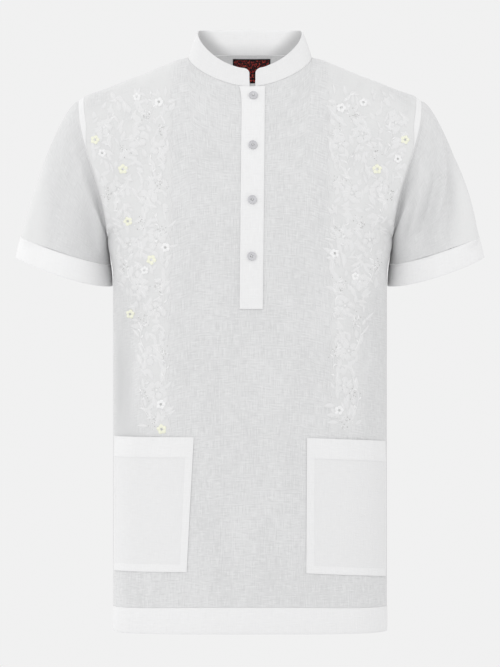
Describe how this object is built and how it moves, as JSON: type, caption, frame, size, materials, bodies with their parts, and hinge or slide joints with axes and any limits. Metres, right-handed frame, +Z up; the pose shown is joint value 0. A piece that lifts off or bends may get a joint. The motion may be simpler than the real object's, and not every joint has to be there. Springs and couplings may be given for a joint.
{
  "type": "fatua",
  "caption": "Short-sleeved voile tunic with band collar, button placket, floral embroidery and two hip pockets, kept in its hollow worn form.",
  "frame": {"origin": "between the shoulders, level with the neck ends of the shoulder seams, where the wearer holds it up", "axes": "+Z up from the hem to the neck, -Y out of the chest, +X towards the wearer's left sleeve"},
  "size_m": [0.639, 0.2525, 0.819],
  "materials": {
    "voile": "white slub voile, one layer, slightly see-through",
    "double_voile": "the same voile in two or more layers, whiter and closed",
    "pearl": "grey pearl buttons with a soft gloss",
    "label_satin": "dark woven satin with a plain red ornament"
  },
  "bodies": {
    "root": {"front": "voile", "back": "voile", "sleeve_right": "voile", "sleeve_left": "voile", "sleeve_band_right": "double_voile", "sleeve_band_left": "double_voile", "hem_band_front": "double_voile", "hem_band_back": "double_voile", "collar": "double_voile", "placket": "double_voile", "placket_under": "double_voile", "pocket_right": "double_voile", "pocket_left": "double_voile", "button_1": "pearl", "button_2": "pearl", "button_3": "pearl", "button_4": "pearl", "label": "label_satin"}
  },
  "joints": []
}
